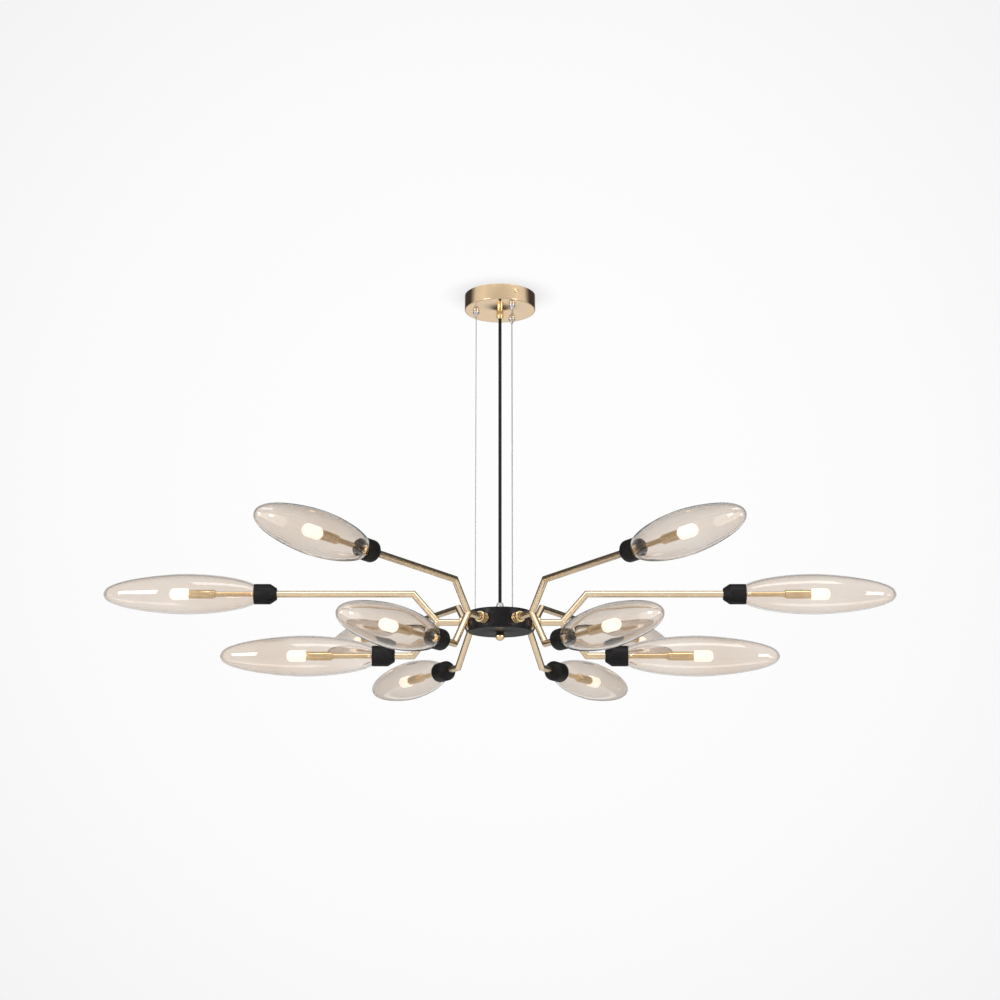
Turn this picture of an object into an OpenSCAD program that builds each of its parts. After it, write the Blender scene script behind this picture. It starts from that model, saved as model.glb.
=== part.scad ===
// Ceiling chandelier: a canopy, a hub on three cables, and six forked arms that each carry
// an upper and a lower capsule lamp inside a long glass shade.
// Origin: centre of the ceiling screw pattern on the ceiling plane. +Z up, -Y front, millimetres.

/* [Suspension] */
// Drop from the ceiling plane to the arm ports of the hub
drop = 523; // [460:1:900]
// Diameter of the canopy
canopy_d = 111; // [108:1:130]
// Height of the canopy
canopy_h = 25; // [24:1:40]
// Distance of each suspension cable from the centre line
cable_r = 37.5; // [36.5:0.5:38]
// Diameter of the suspension cables
cable_d = 1.2; // [0.8:0.1:1.5]
// Diameter of the supply cord
cord_d = 5; // [4:0.1:5.2]
// Length of the gland tube under the canopy
gland_l = 14; // [12:1:60]
// Centre distance of the two ceiling screw holes
ceiling_hole_pitch = 70; // [66:1:72]
// Diameter of the ceiling screw holes
ceiling_hole_d = 5.5; // [4:0.1:6]

/* [Hub] */
// Diameter of the hub
hub_d = 96; // [94:1:110]
// Height of the hub with its cover
hub_h = 31; // [30:1:40]
// Height of the cover's visible rim
cover_h = 3; // [2.5:0.5:6]
// Diameter of the ball finial under the hub
finial_d = 14.4; // [13:0.1:18]
// Outer diameter of the ring nuts and washers at the ports
port_ring_d = 16.5; // [15:0.5:18]

/* [Arms] */
// Outer diameter of the arm tubes
tube_d = 10; // [8:0.1:10]
// Wall of the arm tubes
tube_wall = 1; // [0.6:0.1:1.2]
// Distance of the fork from the centre line
fork_r = 93.4; // [85:0.1:110]
// Distance of the two bends from the centre line
bend_r = 131; // [125:1:150]
// Height of the upper arm above the ports
upper_rise = 43.5; // [36:0.5:60]
// Depth of the lower arm under the ports
lower_fall = 51; // [36:0.5:60]
// Distance of the upper collar's mouth from the centre line
upper_mouth_r = 372; // [300:1:420]
// Distance of the lower collar's mouth from the centre line
lower_mouth_r = 192; // [188:1:260]

/* [Shades and lamps] */
// Length of a glass shade outside its collar
shade_l = 228; // [190:1:260]
// Largest diameter of a glass shade
shade_d = 61; // [54:1:70]
// Distance from the tip of a shade to its widest place
shade_crown = 122; // [100:1:140]
// Wall of the glass
glass_wall = 2.2; // [1.6:0.1:2.5]
// Outer diameter of a collar
collar_d = 31; // [30.5:0.1:36]
// Length of a collar
collar_l = 34; // [30:1:44]
// Distance from a collar's mouth to its lampholder
holder_gap = 60; // [40:1:62]
// Length of a lampholder sleeve
holder_l = 39; // [30:1:40]
// Diameter of a lampholder sleeve
holder_d = 13.5; // [12:0.1:14]
// Diameter of a capsule lamp
lamp_d = 17.5; // [14:0.1:18]
// Length of a capsule lamp outside its lampholder
lamp_l = 29; // [22:1:32]

/* [Hidden] */
$fn = 64;
// Play between pieces that move past each other
play = 0.3;
// Azimuths of the six arms, from the front towards +X
ARM_AZ = [30, 90, 150, 210, 270, 330];
arm_count = len(ARM_AZ);
// Azimuths of the three suspension cables
CABLE_AZ = [30, 150, 270];
cable_count = len(CABLE_AZ);
// Azimuths of the two side screws of the canopy
SCREW_AZ = [27, 207];

// Sheet thicknesses and levels
plate_t = 2;
plate_d = 80;
sheet = 1.2;
hub_wall = 1.5;
ceiling_gap = 0.3;
canopy_floor = -canopy_h + sheet;
hub_top = -drop + hub_h / 2 + 0.5;
hub_bottom = hub_top - hub_h;
hub_roof = hub_top - hub_wall;
shell_bottom = hub_bottom + cover_h + play;
upper_z = -drop + upper_rise;
lower_z = -drop - lower_fall;

// Canopy fittings
gland_d = 11;
gland_thread_d = 10;
nut_h = 3;
gland_nut_af = 14;
gripper_d = 10.5;
gripper_l = 6.5;
gripper_flange = 3;
gripper_tip_d = 6.6;
gripper_neck_d = 6;
gripper_nut_af = 9;
neck_reach = 5.3;
cable_clear = 0.3;
plunger_d = 4.4;
plunger_l = 6;
plunger_out = 3;
plunger_travel = 2;
plunger_seat = plunger_l - plunger_out + plunger_travel + 1;
side_screw_d = 3;
side_screw_z = -10;
side_head_d = 7;
side_head_l = 1.8;
tab_w = 12;
tab_l = 15;
tab_reach = 50;
driver_size = [60, 24, 15];
driver_y = 17;
block_size = [36, 18, 12];
block_y = -19;
cord_top = -12;
cable_top = -16;

// Hub fittings
hub_gland_l = 14;
hub_thread_d = 9.6;
hub_nut_af = 13;
cord_end = hub_roof - 9.5;
anchor_d = 5;
anchor_l = 6;
bridge_w = 12;
bridge_t = 2;
bridge_half = 35;
bridge_z = -drop - 8;
stud_d = 5.8;
stud_end = hub_bottom - finial_d / 2 - 0.7;
// Height that the flat top takes off the ball
finial_flat = 1.8;
hub_block_size = [12, 28, 8];
port_thread_d = 12.4;
bushing_in = 5;
bushing_out = 14;
port_nut_l = 4.5;
port_nut_af = 15.6;
ring_from = 7.5;
ring_l = 6;
washer_t = 2;
stem_in = hub_d / 2 - 10;
// Each branch is a hair thicker than the tubes it is welded to
weld_step = 0.03;

// Collar and lamp fittings
collar_bore_d = 28.6;
collar_depth = 14;
collar_nose = 10;
collar_nose_d = 18;
tube_seat = 20;
neck_d = 25.2;
neck_l = 12;
shoulder_l = 2;
seal_from = 3;
seal_l = 7;
stem_d = 7.5;
stem_bore_d = 5.8;
stem_nut_af = 12;
stem_nut_h = 4;
lamp_base_d = 7.6;
lamp_base_l = 6;
lamp_corner = 5;
wire_d = 2.4;
tip_wall = 2.6;
// Exponents that shape the pointed end and the shoulder of the glass
tip_power = [1.5, 0.42];
shoulder_power = 1.34;
tip_steps = 16;
shoulder_steps = 12;

// Turns +X to an azimuth counted from the front (-Y) towards +X
module at_az(az) {
    rotate([0, 0, az - 90]) children();
}

// Puts the mouth of a collar, with its axis along +X, at every arm of one level
module at_mouths(mouth_r, z) {
    for (az = ARM_AZ) at_az(az) translate([mouth_r, 0, z]) children();
}

// Cylinder along +X from x0 to x1
module x_rod(x0, x1, d) {
    translate([x0, 0, 0]) rotate([0, 90, 0]) cylinder(d = d, h = x1 - x0);
}

// Hexagon along +X from x0 to x1, by its width across flats
module x_hex(x0, x1, af) {
    translate([x0, 0, 0]) rotate([0, 90, 0]) cylinder(d = af / cos(30), h = x1 - x0, $fn = 6);
}

// Upright cylinder from z0 up to z1
module z_rod(z0, z1, d) {
    translate([0, 0, z0]) cylinder(d = d, h = z1 - z0);
}

// Upright hexagon from z0 up to z1, by its width across flats
module z_hex(z0, z1, af) {
    translate([0, 0, z0]) cylinder(d = af / cos(30), h = z1 - z0, $fn = 6);
}

// ---- Canopy ----

// Round steel plate with two ceiling holes and two tabs for the side screws
module mounting_plate() {
    color("silver") difference() {
        union() {
            z_rod(-plate_t, 0, plate_d);
            for (az = SCREW_AZ) at_az(az) {
                translate([plate_d / 2 - 5, -tab_w / 2, -plate_t])
                    cube([tab_reach - plate_d / 2 + 5, tab_w, plate_t]);
                translate([tab_reach - plate_t, -tab_w / 2, -tab_l])
                    cube([plate_t, tab_w, tab_l - plate_t / 2]);
            }
        }
        for (side = [-1, 1]) translate([0, side * ceiling_hole_pitch / 2, 0])
            z_rod(-plate_t - 1, 1, ceiling_hole_d);
        for (az = SCREW_AZ) at_az(az) translate([0, 0, side_screw_z])
            x_rod(tab_reach - plate_t - 1, tab_reach + 1, side_screw_d + 2 * play);
    }
}

// Drawn brass cup that covers the plate and carries the cable grippers
module canopy_cup() {
    color("goldenrod") difference() {
        z_rod(-canopy_h, -ceiling_gap, canopy_d);
        z_rod(canopy_floor, 1, canopy_d - 2 * sheet);
        z_rod(-canopy_h - 1, 1, gland_thread_d + 0.4);
        for (az = CABLE_AZ) at_az(az) translate([cable_r, 0, 0])
            z_rod(-canopy_h - 1, 0, gripper_neck_d + 0.4);
        for (az = SCREW_AZ) at_az(az) translate([0, 0, side_screw_z])
            x_rod(canopy_d / 2 - 5, canopy_d / 2 + 5, side_screw_d + 2 * play);
    }
}

// Side screw with a round head, along +X
module canopy_screw() {
    color("goldenrod") translate([0, 0, side_screw_z]) {
        x_rod(canopy_d / 2 + play, canopy_d / 2 + play + side_head_l, side_head_d);
        x_rod(tab_reach - 5, canopy_d / 2 + play + 1, side_screw_d);
    }
}

module led_driver() {
    color("white") translate([-driver_size[0] / 2, driver_y - driver_size[1] / 2,
                              -plate_t - driver_size[2]])
        cube(driver_size);
}

// Three-way terminal block with its wire holes
module terminal_block() {
    color("ivory") difference() {
        translate([-block_size[0] / 2, block_y - block_size[1] / 2, -plate_t - block_size[2]])
            cube(block_size);
        for (k = [-1 : 1]) translate([k * block_size[0] / 3, block_y, -plate_t - block_size[2] / 2])
            rotate([90, 0, 0]) cylinder(d = 3.4, h = block_size[1] + 2, center = true);
    }
}

// Gland tube that the supply cord leaves through
module canopy_gland() {
    color("goldenrod") difference() {
        union() {
            z_rod(-canopy_h - gland_l, -canopy_h, gland_d);
            z_rod(-canopy_h - 1, canopy_floor + nut_h + 1, gland_thread_d);
        }
        z_rod(-canopy_h - gland_l - 1, 0, cord_d + 2 * play);
    }
}

module canopy_gland_nut() {
    color("goldenrod") difference() {
        z_hex(canopy_floor, canopy_floor + nut_h, gland_nut_af);
        z_rod(canopy_floor - 1, 0, gland_thread_d + 0.2);
    }
}

// Cone-shaped cable gripper with a threaded neck and a seat for its release plunger
module gripper_body() {
    difference() {
        rotate_extrude() polygon([
            [0, -canopy_h - gripper_l], [gripper_tip_d / 2, -canopy_h - gripper_l],
            [gripper_d / 2, -canopy_h - gripper_flange], [gripper_d / 2, -canopy_h],
            [gripper_neck_d / 2, -canopy_h], [gripper_neck_d / 2, canopy_floor + neck_reach],
            [0, canopy_floor + neck_reach]]);
        z_rod(-canopy_h - gripper_l - 1, 0, cable_d + 2 * cable_clear);
        z_rod(-canopy_h - gripper_l - 1, -canopy_h - gripper_l + plunger_seat,
              plunger_d + 2 * play);
    }
}

module gripper_bodies() {
    color("silver") for (az = CABLE_AZ) at_az(az) translate([cable_r, 0, 0]) gripper_body();
}

module gripper_nuts() {
    color("silver") for (az = CABLE_AZ) at_az(az) translate([cable_r, 0, 0]) difference() {
        z_hex(canopy_floor, canopy_floor + nut_h, gripper_nut_af);
        z_rod(canopy_floor - 1, 0, gripper_neck_d + 0.2);
    }
}

// Sprung sleeve that is pushed up into the gripper to let the cable run
module gripper_plunger() {
    color("silver") difference() {
        z_rod(-canopy_h - gripper_l - plunger_out,
              -canopy_h - gripper_l - plunger_out + plunger_l, plunger_d);
        z_rod(-canopy_h - gripper_l - plunger_out - 1, 0, cable_d + 2 * cable_clear);
    }
}

// ---- Suspension ----

module suspension_cable() {
    color("gainsboro") translate([cable_r, 0, 0])
        z_rod(hub_roof - anchor_l + 1, cable_top, cable_d);
}

module supply_cord() {
    color("black") z_rod(cord_end, cord_top, cord_d);
}

// Swaged ferrules that stop the cables under the roof of the hub
module cable_anchors() {
    color("silver") for (az = CABLE_AZ) at_az(az) translate([cable_r, 0, 0]) difference() {
        z_rod(hub_roof - anchor_l, hub_roof, anchor_d);
        z_rod(hub_roof - anchor_l + 0.9, hub_roof + 1, cable_d + 0.1);
    }
}

// ---- Hub ----

module hub_gland() {
    color("silver") difference() {
        union() {
            z_rod(hub_top, hub_top + hub_gland_l, gland_d);
            z_rod(hub_roof - nut_h - 1, hub_top + 1, hub_thread_d);
        }
        z_rod(hub_roof - nut_h - 2, hub_top + hub_gland_l + 1, cord_d + 2 * play);
    }
}

module hub_gland_nut() {
    color("goldenrod") difference() {
        z_hex(hub_roof - nut_h, hub_roof, hub_nut_af);
        z_rod(hub_roof - nut_h - 1, hub_roof + 1, hub_thread_d + 0.2);
    }
}

// Black drum, open at the bottom, with a port for each arm
module hub_shell() {
    color("#1c1a1b") difference() {
        z_rod(shell_bottom, hub_top, hub_d);
        z_rod(shell_bottom - 1, hub_roof, hub_d - 2 * hub_wall);
        z_rod(hub_roof - 1, hub_top + 1, hub_thread_d + 0.4);
        for (az = CABLE_AZ) at_az(az) translate([cable_r, 0, 0])
            z_rod(hub_roof - 1, hub_top + 1, 2.4);
        for (az = ARM_AZ) at_az(az) translate([0, 0, -drop])
            x_rod(hub_d / 2 - 6, hub_d / 2 + 4, port_thread_d + 0.4);
    }
}

// Strap across the hub, fixed to its roof, that carries the stud
module hub_bridge() {
    color("silver") {
        translate([-bridge_w / 2, -bridge_half, bridge_z])
            cube([bridge_w, 2 * bridge_half, bridge_t]);
        for (side = [0, 180]) rotate([0, 0, side]) {
            translate([-bridge_w / 2, bridge_half - bridge_t, bridge_z])
                cube([bridge_w, bridge_t, hub_roof - bridge_z]);
            translate([-bridge_w / 2, bridge_half - 10, hub_roof - bridge_t])
                cube([bridge_w, 10, bridge_t]);
        }
    }
}

module hub_terminal_block() {
    color("ivory") translate([-hub_block_size[0] / 2, -hub_block_size[1] / 2,
                              bridge_z + bridge_t])
        cube(hub_block_size);
}

module hub_stud() {
    color("silver") z_rod(stud_end, bridge_z, stud_d);
}

// Dished bottom cover with a locating lip inside the shell
module hub_cover() {
    color("#1c1a1b") difference() {
        union() {
            z_rod(hub_bottom, hub_bottom + cover_h, hub_d);
            z_rod(hub_bottom + 1, hub_bottom + cover_h + 2.5, hub_d - 2 * hub_wall - 0.8);
        }
        z_rod(hub_bottom + hub_wall, hub_top, hub_d - 2 * hub_wall - 3.6);
        z_rod(hub_bottom - 1, hub_top, stud_d + 2 * play + 0.2);
    }
}

// Ball nut with a flat top that holds the cover on the stud
module finial() {
    seat_z = hub_bottom - play;
    color("goldenrod") difference() {
        translate([0, 0, seat_z + finial_flat - finial_d / 2]) sphere(d = finial_d);
        z_rod(seat_z, hub_top, finial_d);
        z_rod(stud_end - 1, hub_top, stud_d + 2 * play);
    }
}

// Threaded bushings through the ports of the hub
module port_bushings() {
    color("goldenrod") for (az = ARM_AZ) at_az(az) translate([0, 0, -drop]) difference() {
        x_rod(hub_d / 2 - bushing_in, hub_d / 2 + bushing_out, port_thread_d);
        x_rod(hub_d / 2 - bushing_in - 1, hub_d / 2 + bushing_out + 1, tube_d + 0.2);
    }
}

module port_washers() {
    color("darkgoldenrod") for (az = ARM_AZ) at_az(az) translate([0, 0, -drop]) difference() {
        x_rod(hub_d / 2 + 0.1, hub_d / 2 + 0.1 + washer_t, port_ring_d);
        x_rod(hub_d / 2 - 1, hub_d / 2 + washer_t + 1, port_thread_d + 0.2);
    }
}

module port_ring_nuts() {
    color("gold") for (az = ARM_AZ) at_az(az) translate([0, 0, -drop]) difference() {
        x_rod(hub_d / 2 + ring_from, hub_d / 2 + ring_from + ring_l, port_ring_d);
        x_rod(hub_d / 2 + ring_from - 1, hub_d / 2 + ring_from + ring_l + 1, port_thread_d + 0.2);
    }
}

module port_locknuts() {
    nut_to = hub_d / 2 - hub_wall - 1.2;
    color("silver") for (az = ARM_AZ) at_az(az) translate([0, 0, -drop]) difference() {
        x_hex(nut_to - port_nut_l, nut_to, port_nut_af);
        x_rod(nut_to - port_nut_l - 1, nut_to + 1, port_thread_d + 0.2);
    }
}

// ---- Arms ----

// Round rod between two points of the XZ plane, longer by e0 and e1 at its ends
module rod(p0, p1, r, e0, e1) {
    run = p1 - p0;
    translate([p0[0], 0, p0[1]]) rotate([0, -atan2(run[1], run[0]), 0])
        x_rod(-e0, norm(run) + e1, 2 * r);
}

// Block that removes all on one side of a plane through p, in the direction ang
module trim(p, ang, size) {
    translate([p[0], 0, p[1]]) rotate([0, -ang, 0])
        translate([0, -size, -size]) cube(2 * size);
}

// Forked run in the XZ plane with mitred joints: stem, two branches and two long arms
module forked_run(r, stem_r, upper_end, lower_end) {
    fork = [fork_r, -drop];
    over = 1.5 * r;
    block = 4 * r;
    levels = [[upper_z, upper_end], [lower_z, lower_end]];
    slope = [for (l = levels) atan2(l[0] + drop, bend_r - fork_r)];
    middle = (slope[0] + slope[1]) / 2;
    difference() {
        rod([stem_r, -drop], fork, r, 0, over);
        trim(fork, slope[0] / 2, block);
        trim(fork, slope[1] / 2, block);
    }
    for (k = [0, 1]) {
        bend = [bend_r, levels[k][0]];
        difference() {
            rod(fork, bend, r + weld_step * (k + 1), over, over);
            trim(fork, slope[k] / 2 + 180, block);
            trim(fork, middle + (k == 0 ? -90 : 90), block);
            trim(bend, slope[k] / 2, block);
        }
        difference() {
            rod(bend, [levels[k][1], levels[k][0]], r, over, 0);
            trim(bend, slope[k] / 2 + 180, block);
        }
    }
}

// Hollow forked arm of welded tube
module arm() {
    color("tan") difference() {
        forked_run(tube_d / 2, stem_in, upper_mouth_r - tube_seat, lower_mouth_r - tube_seat);
        forked_run(tube_d / 2 - tube_wall, stem_in - 1, upper_mouth_r - tube_seat + 1,
                   lower_mouth_r - tube_seat + 1);
    }
}

// Insulated leads inside the arms, from the hub to both lampholders
module arm_wires() {
    lead_end = holder_gap + holder_l / 2;
    color("white") for (az = ARM_AZ) at_az(az)
        forked_run(wire_d / 2, stem_in - 4, upper_mouth_r + lead_end, lower_mouth_r + lead_end);
}

// ---- Collars, lampholders and lamps: mouth of the collar at x = 0, axis along +X ----

// Black cup with a conical nose
module collar() {
    difference() {
        rotate([0, 90, 0]) rotate_extrude() polygon([
            [0, -collar_l], [collar_nose_d / 2, -collar_l],
            [collar_d / 2, -collar_l + collar_nose], [collar_d / 2, 0], [0, 0]]);
        x_rod(-collar_depth, 1, collar_bore_d);
        x_rod(-collar_l - 1, -collar_depth + 1, tube_d + 0.2);
    }
}

// Silicone sleeve inside a collar that grips the neck of the glass
module seal_ring() {
    difference() {
        x_rod(-seal_from - seal_l, -seal_from, collar_bore_d - 0.1);
        x_rod(-collar_depth, 0, neck_d + 2 * play);
    }
}

// Nut that clamps the lampholder stem in the collar
module stem_nut() {
    difference() {
        x_hex(-collar_depth, -collar_depth + stem_nut_h, stem_nut_af);
        x_rod(-collar_depth - 1, -collar_depth + stem_nut_h + 1, stem_d + 0.2);
    }
}

// Lampholder sleeve on a hollow stem
module lampholder() {
    difference() {
        union() {
            x_rod(-tube_seat + 0.2, holder_gap + 1, stem_d);
            x_rod(holder_gap, holder_gap + holder_l, holder_d);
        }
        x_rod(-tube_seat, holder_gap + holder_l / 2 + 1, stem_bore_d);
        x_rod(holder_gap + holder_l - lamp_base_l - 0.5, holder_gap + holder_l + 1,
              lamp_base_d + 0.4);
    }
}

// Frosted capsule lamp: base in the lampholder, bulb with a flat, rounded end
module lamp() {
    foot = holder_gap + holder_l;
    face = lamp_d / 2 - lamp_corner;
    steps = 6;
    rotate([0, 90, 0]) rotate_extrude() polygon(concat(
        [[0, foot - lamp_base_l], [lamp_base_d / 2, foot - lamp_base_l],
         [lamp_base_d / 2, foot + 0.2], [lamp_d / 2 - 1.5, foot + 0.2],
         [lamp_d / 2, foot + 1.7]],
        [for (k = [0 : steps]) [face + lamp_corner * cos(90 * k / steps),
                                foot + lamp_l - lamp_corner * (1 - sin(90 * k / steps))]],
        [[0, foot + lamp_l]]));
}

// Radius of the glass on its pointed side, where u runs from 1 at the tip to 0 at the crown
function tip_radius(crown_r, u) = crown_r * pow(1 - pow(u, tip_power[0]), tip_power[1]);

// Outline of one face of the glass from its mouth end to its tip, as [radius, distance]
function glass_outline(crown_r, mouth_r, tip_x) = concat(
    [for (k = [0 : shoulder_steps])
        let (a = 90 - 90 * k / shoulder_steps)
        [mouth_r + (crown_r - mouth_r) * pow(cos(a), shoulder_power),
         (shade_l - shade_crown) * (1 - sin(a))]],
    [for (k = [1 : tip_steps])
        let (a = 90 - 90 * k / tip_steps)
        [k == tip_steps ? 0 : tip_radius(crown_r, cos(a)),
         shade_l - shade_crown + (tip_x - shade_l + shade_crown) * cos(a)]]);

// Long glass shade, closed at the tip, with a straight neck inside the collar
module shade() {
    crown_r = shade_d / 2;
    mouth_r = collar_bore_d / 2 - 0.55;
    outer = glass_outline(crown_r, mouth_r, shade_l);
    inner = glass_outline(crown_r - glass_wall, neck_d / 2 - glass_wall, shade_l - tip_wall);
    back = [for (k = [len(inner) - 1 : -1 : 0]) inner[k]];
    color("peru", 0.5) rotate([0, 90, 0]) rotate_extrude() polygon(concat(
        [[neck_d / 2 - glass_wall, -neck_l], [neck_d / 2, -neck_l],
         [neck_d / 2, -shoulder_l]],
        outer, back));
}

mounting_plate();
canopy_cup();
at_az(SCREW_AZ[0]) canopy_screw();  // canopy_screw_1
at_az(SCREW_AZ[1]) canopy_screw();  // canopy_screw_2
led_driver();
terminal_block();
canopy_gland();
canopy_gland_nut();
gripper_bodies();
gripper_nuts();
for (i = [1 : cable_count]) {
    at_az(CABLE_AZ[i - 1]) translate([cable_r, 0, 0]) gripper_plunger();
    at_az(CABLE_AZ[i - 1]) suspension_cable();
}
supply_cord();
cable_anchors();
hub_gland();
hub_gland_nut();
hub_shell();
hub_bridge();
hub_terminal_block();
hub_stud();
hub_cover();
finial();
port_bushings();
port_washers();
port_ring_nuts();
port_locknuts();
arm_wires();
color("#1c1a1b") at_mouths(upper_mouth_r, upper_z) collar();  // collars_upper
color("#1c1a1b") at_mouths(lower_mouth_r, lower_z) collar();  // collars_lower
color("dimgray") {  // seal_rings
    at_mouths(upper_mouth_r, upper_z) seal_ring();
    at_mouths(lower_mouth_r, lower_z) seal_ring();
}
color("goldenrod") {  // stem_nuts
    at_mouths(upper_mouth_r, upper_z) stem_nut();
    at_mouths(lower_mouth_r, lower_z) stem_nut();
}
color("goldenrod") at_mouths(upper_mouth_r, upper_z) lampholder();  // lampholders_upper
color("goldenrod") at_mouths(lower_mouth_r, lower_z) lampholder();  // lampholders_lower
color("white") at_mouths(upper_mouth_r, upper_z) lamp();  // lamps_upper
color("white") at_mouths(lower_mouth_r, lower_z) lamp();  // lamps_lower
for (i = [1 : arm_count]) {
    at_az(ARM_AZ[i - 1]) arm();
    at_az(ARM_AZ[i - 1]) translate([upper_mouth_r, 0, upper_z]) shade();
    at_az(ARM_AZ[i - 1]) translate([lower_mouth_r, 0, lower_z]) shade();
}
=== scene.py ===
"""Looks of the ceiling chandelier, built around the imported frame."""
import math

import bmesh
import bpy
from mathutils import Matrix, Vector


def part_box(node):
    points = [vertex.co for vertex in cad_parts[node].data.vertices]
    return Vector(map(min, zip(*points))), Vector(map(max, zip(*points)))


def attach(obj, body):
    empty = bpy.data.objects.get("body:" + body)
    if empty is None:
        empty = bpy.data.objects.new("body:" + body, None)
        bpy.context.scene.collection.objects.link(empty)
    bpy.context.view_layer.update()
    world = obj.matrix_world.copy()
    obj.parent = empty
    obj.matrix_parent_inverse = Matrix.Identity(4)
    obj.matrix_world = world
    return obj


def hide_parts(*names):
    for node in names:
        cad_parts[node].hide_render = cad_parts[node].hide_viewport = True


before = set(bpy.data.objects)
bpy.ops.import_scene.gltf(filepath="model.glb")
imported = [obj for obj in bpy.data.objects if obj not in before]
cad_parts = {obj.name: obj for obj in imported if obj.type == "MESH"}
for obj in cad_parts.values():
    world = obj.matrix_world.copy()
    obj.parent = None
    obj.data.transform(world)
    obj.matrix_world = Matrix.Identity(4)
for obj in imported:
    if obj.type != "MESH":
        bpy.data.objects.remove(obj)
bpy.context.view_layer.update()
MM = 0.001

# ---------------------------------------------------------------- places read from the frame


def low(node):
    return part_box(node)[0]


def high(node):
    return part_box(node)[1]


ARM_AZ = [30, 90, 150, 210, 270, 330]
CABLE_AZ = [30, 150, 270]
SCREW_AZ = [27, 207]
LEVELS = ("upper", "lower")

canopy_top = high("canopy_cup").z
canopy_bottom = low("canopy_cup").z
canopy_r = high("canopy_cup").x
gland_bottom = low("canopy_gland").z
gland_r = high("canopy_gland").x
gripper_bottom = low("gripper_bodies").z
gripper_top = high("gripper_bodies").z
plunger_bottom = low("gripper_plunger_1").z
plunger_top = high("gripper_plunger_1").z
cable_low, cable_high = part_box("suspension_cable_3")
cable_d = cable_high.x - cable_low.x
cable_r = abs(cable_low.x + cable_d / 2)
cord_d = high("supply_cord").x - low("supply_cord").x
hub_top = high("hub_shell").z
hub_r = high("hub_shell").x
shell_bottom = low("hub_shell").z
hub_bottom = low("hub_cover").z
cover_top = high("hub_cover").z
hub_gland_top = high("hub_gland").z
port_z = (high("port_washers").z + low("port_washers").z) / 2
arm_low, arm_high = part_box("arm_2")
WELD_STEP = 0.03 * MM  # the frame's arms are that much thicker where their tubes are welded
tube_r = high("arm_2").y - WELD_STEP
port_thread_r = high("port_bushings").z - port_z
port_ring_r = high("port_ring_nuts").z - port_z
upper_z = arm_high.z - tube_r
lower_z = arm_low.z + tube_r
level_z = {"upper": upper_z, "lower": lower_z}
COLLAR_L = 34 * MM
HOLDER_L = 39 * MM
collar_r = (high("collars_upper").z - low("collars_upper").z) / 2
mouth_r = {k: high("collars_" + k).x for k in LEVELS}
tip_r = {k: high("shade_" + k + "_2").x for k in LEVELS}
shade_l = tip_r["upper"] - mouth_r["upper"]
shade_r = high("shade_upper_2").y
holder_end = high("lampholders_upper").x - mouth_r["upper"]
lamp_end = high("lamps_upper").x - mouth_r["upper"]
lamp_r = (high("lamps_upper").z - low("lamps_upper").z) / 2
holder_r = (high("lampholders_upper").z - low("lampholders_upper").z) / 2

# ---------------------------------------------------------------- materials


class Shader:
    """A node material around one Principled shader."""

    def __init__(self, name, colour, metallic=0.0, rough=0.5, **sockets):
        self.mat = bpy.data.materials.new(name)
        self.mat.use_nodes = True
        self.tree = self.mat.node_tree
        self.bsdf = self.tree.nodes["Principled BSDF"]
        self.put("Base Color", (*colour, 1))
        self.put("Metallic", metallic)
        self.put("Roughness", rough)
        for key, value in sockets.items():
            self.put(key.replace("_", " "), value)
        self.coords = self.tree.nodes.new("ShaderNodeTexCoord").outputs["Object"]

    def put(self, socket, value):
        self.bsdf.inputs[socket].default_value = value

    def link(self, out, into):
        self.tree.links.new(out, into)

    def noise(self, scale, detail=4.0, stretch=(1, 1, 1), rough=0.55):
        mapping = self.tree.nodes.new("ShaderNodeMapping")
        mapping.inputs["Scale"].default_value = stretch
        self.link(self.coords, mapping.inputs["Vector"])
        node = self.tree.nodes.new("ShaderNodeTexNoise")
        node.inputs["Scale"].default_value = scale
        node.inputs["Detail"].default_value = detail
        node.inputs["Roughness"].default_value = rough
        self.link(mapping.outputs["Vector"], node.inputs["Vector"])
        return node.outputs["Fac"]

    def ramp(self, fac, stops):
        node = self.tree.nodes.new("ShaderNodeValToRGB")
        ramp = node.color_ramp
        while len(ramp.elements) < len(stops):
            ramp.elements.new(0.5)
        for element, (at, colour) in zip(ramp.elements, stops):
            element.position = at
            element.color = (*colour, 1)
        self.link(fac, node.inputs["Fac"])
        return node.outputs["Color"]

    def span(self, fac, to_min, to_max, from_min=0.3, from_max=0.7):
        node = self.tree.nodes.new("ShaderNodeMapRange")
        for key, value in (("From Min", from_min), ("From Max", from_max),
                           ("To Min", to_min), ("To Max", to_max)):
            node.inputs[key].default_value = value
        self.link(fac, node.inputs["Value"])
        return node.outputs["Result"]

    def tint(self, fac, dark, light):
        self.link(self.ramp(fac, [(0.32, dark), (0.68, light)]), self.bsdf.inputs["Base Color"])

    def roughness(self, fac, smooth, coarse):
        self.link(self.span(fac, smooth, coarse), self.bsdf.inputs["Roughness"])

    def bump(self, fac, distance, strength=0.5):
        node = self.tree.nodes.new("ShaderNodeBump")
        node.inputs["Strength"].default_value = strength
        node.inputs["Distance"].default_value = distance
        self.link(fac, node.inputs["Height"])
        self.link(node.outputs["Normal"], self.bsdf.inputs["Normal"])


def satin_brass():
    """Champagne plating with fine grain and faint handling marks."""
    s = Shader("satin_brass", (0.88, 0.70, 0.48), 1.0, 0.24)
    s.tint(s.noise(38, 5), (0.85, 0.665, 0.445), (0.91, 0.735, 0.52))
    s.roughness(s.noise(120, 4), 0.20, 0.28)
    s.bump(s.noise(1400, 2), 0.000004, 0.2)
    return s.mat


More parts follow.
